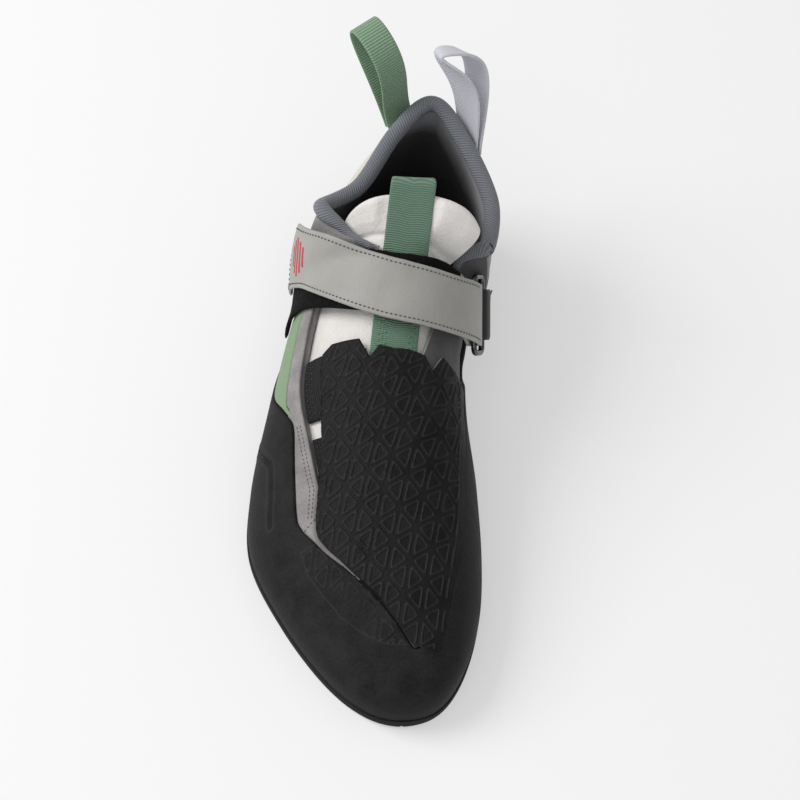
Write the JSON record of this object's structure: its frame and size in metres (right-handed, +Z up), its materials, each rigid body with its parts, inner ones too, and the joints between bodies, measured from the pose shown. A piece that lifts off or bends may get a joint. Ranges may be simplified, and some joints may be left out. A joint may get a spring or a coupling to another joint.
{
  "type": "climbing shoe",
  "caption": "Right climbing shoe with black rubber toe, rand and heel, a grey strap folded through a wire ring, padded tongue, ribbed collar roll and heel pull loops.",
  "frame": {"origin": "on the floor under the forefoot, at the flat spot of the sole 70 mm behind the toe tip", "axes": "+Y from the toe to the heel, +X to the medial side, +Z up"},
  "size_m": [0.0948, 0.2539, 0.1209],
  "materials": {
    "black_rubber": "matt black climbing rubber",
    "embossed_rubber": "matt black rubber with a raised pattern",
    "grey_microfibre": "grey synthetic microfibre",
    "grey_suede": "grey suede",
    "green_fabric": "light green coated fabric",
    "cream_microfibre": "off-white microfibre",
    "ribbed_binding": "grey-blue ribbed knit",
    "tongue_cloth": "off-white padded cloth",
    "green_webbing": "green grosgrain webbing",
    "white_tape": "smooth white tape",
    "black_elastic": "black woven elastic",
    "strap_leather": "grey synthetic leather with stitched edges",
    "steel_wire": "bright steel wire",
    "insole_felt": "dark felt"
  },
  "bodies": {
    "root": {"outsole": "black_rubber", "toe_rand": "black_rubber", "heel_cup": "black_rubber", "toe_patch": "embossed_rubber", "upper": "grey_microfibre", "eyestay": "grey_suede", "side_panel": "green_fabric", "heel_trim": "cream_microfibre", "collar_binding": "ribbed_binding", "tongue": "tongue_cloth", "tongue_pull_tab": "green_webbing", "heel_loop_lateral": "green_webbing", "heel_loop_medial": "white_tape", "elastic_band_front": "black_elastic", "elastic_band_rear": "black_elastic", "strap": "strap_leather", "ring_tab": "strap_leather", "strap_ring": "steel_wire", "insole": "insole_felt"}
  },
  "joints": []
}
